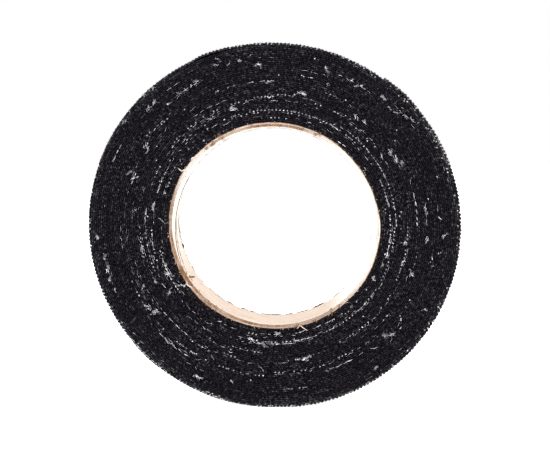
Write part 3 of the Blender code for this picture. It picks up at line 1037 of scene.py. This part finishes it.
def stage_and_camera():
    scene = bpy.context.scene
    scene.view_settings.view_transform = "Standard"
    scene.world = bpy.data.worlds.new("studio")
    scene.world.use_nodes = True
    sky = scene.world.node_tree
    set_inputs(sky, sky.nodes["Background"], {"Color": (1, 1, 1, 1), "Strength": 1.0})

    white, tree, shader = new_material("floor_white", 0.9, 0.0)
    glow = {"Emission Color": (1, 1, 1, 1), "Emission Strength": 1.0}
    set_inputs(tree, shader, {"Base Color": (0.85, 0.85, 0.85, 1), **glow})
    corners = np.array([(-1, -1, 0), (1, -1, 0), (1, 1, 0), (-1, 1, 0)]) * FLOOR_REACH
    add_object("floor", corners, [(0, 1, 2, 3)], white)

    for name, location, size, power in LAMPS:
        lamp = bpy.data.lights.new(name, "AREA")
        lamp.shape = "DISK"
        lamp.size = size
        lamp.energy = power
        add_aimed(name, lamp, Vector(location), Vector((0, 0, AXIS_Z)))

    camera = bpy.data.cameras.new("camera")
    camera.sensor_width = 36
    camera.lens = CAMERA_LENS
    camera.clip_start = 0.01
    azimuth, elevation = math.radians(CAMERA_AZIMUTH), math.radians(CAMERA_ELEVATION)
    level = math.cos(elevation)
    back = Vector((math.sin(azimuth) * level, -math.cos(azimuth) * level, math.sin(elevation)))
    aim = Vector((0, -HALF_WIDTH, AXIS_Z)) + Vector(CAMERA_AIM)
    scene.camera = add_aimed("camera", camera, aim + back * CAMERA_DISTANCE, aim)


# The tape's pieces


def build_turns(end_start, tape):
    """The wound tape: its threads show on the outermost turn, and only its edges on the others."""
    outer_start = sample_at(HINGE_ANGLES[0] - 362)
    for name, start, end, count, columns in (
        ("tape_turns", 0, outer_start, 6, (2, 2)),
        ("tape_outer_turn", outer_start, end_start, 4, (TREAD_COLUMNS, INNER_COLUMNS)),
    ):
        cuts = np.linspace(start, end, count + 1).astype(int)
        for number in range(count):
            turn = build_strip(f"{name}_{number + 1}", cuts[number], cuts[number + 1], *columns, tape)
            ride_on_roll(turn)
            if name == "tape_outer_turn" and number == 0:
                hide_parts("tape_winding")


def build_loose_threads(end_start, tape, cotton, rng):
    """Bare thread ends and loose threads on both faces, and lint and hairs on the tread."""
    back_marks = random_tufts(74, 83), random_warps(27, 84), random_warps(90, 85)
    for side, (tufts, warps, thin_warps) in enumerate(((TUFTS, BARE_WARPS, THIN_WARPS), back_marks)):
        name = ("front", "back")[side]
        ends = bare_end_parts(side, 0, end_start, rng)
        ride_on_roll(add_fibres(f"bare_thread_ends_{name}", ends, cotton))
        loose = tuft_parts(side, tufts, rng)
        loose.append(stroke_part(side, STROKES, rng))
        loose += bare_warp_parts(side, warps, 0.9, 1.8, rng)
        loose += bare_warp_parts(side, thin_warps, 0.38, 2.9, rng)
        ride_on_roll(add_fibres(f"loose_threads_{name}", loose, cotton))
    uncovered = sample_at(END_ANGLE - 359)
    lint = [tread_part(uncovered, end_start, rng)]
    ride_on_roll(add_fibres("tread_lint", lint, cotton))
    hairs = hair_parts(uncovered, end_start, rng)
    ride_on_roll(add_fibres("edge_hairs", hairs, tape))


def build_free_end(hinges, cuts, tape, cotton, rng):
    """The last of the tape: a length round each hinge, with its lint and hairs, in place of the model's
    part for the body past that hinge.
    """
    reach = 0.7 * (cuts[1] - hinges[0])
    bodies = ["roll"] + [f"tape_end_{number + 1}" for number in range(len(hinges))]
    for number, hinge in enumerate(hinges):
        first, last = cuts[number], cuts[number + 1]
        strip = build_strip(f"tape_free_end_{number + 1}", first, last, TREAD_COLUMNS, TREAD_COLUMNS, tape)
        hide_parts(bodies[number + 1])
        lint = [tread_part(first, last, rng)]
        for side in (0, 1):
            lint += bare_end_parts(side, first, last, rng)
        lint = add_fibres(f"free_end_lint_{number + 1}", lint, cotton)
        hairs = add_fibres(f"free_end_hairs_{number + 1}", hair_parts(first, last, rng), tape)
        windings = winding_at(np.array([hinge - reach, hinge + reach]) * SAMPLE_STEP)
        start, end = [place(turn_radius(winding), winding, 0.0) for winding in windings]
        for piece, slot in ((strip, "tape_cloth"), (lint, "cotton_lint"), (hairs, "tape_cloth")):
            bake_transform(piece)


def build_tape():
    tape, cotton = tape_material(), cotton_material()
    hinges = [sample_at(angle) for angle in HINGE_ANGLES]
    middles = [(a + b) // 2 for a, b in zip(hinges, hinges[1:])]
    end_start = 2 * hinges[0] - middles[0]
    rng = default_rng(81)
    build_turns(end_start, tape)
    build_loose_threads(end_start, tape, cotton, rng)
    build_free_end(hinges, [end_start, *middles, sample_at(END_ANGLE)], tape, cotton, rng)


build_tape()
build_core()
stage_and_camera()
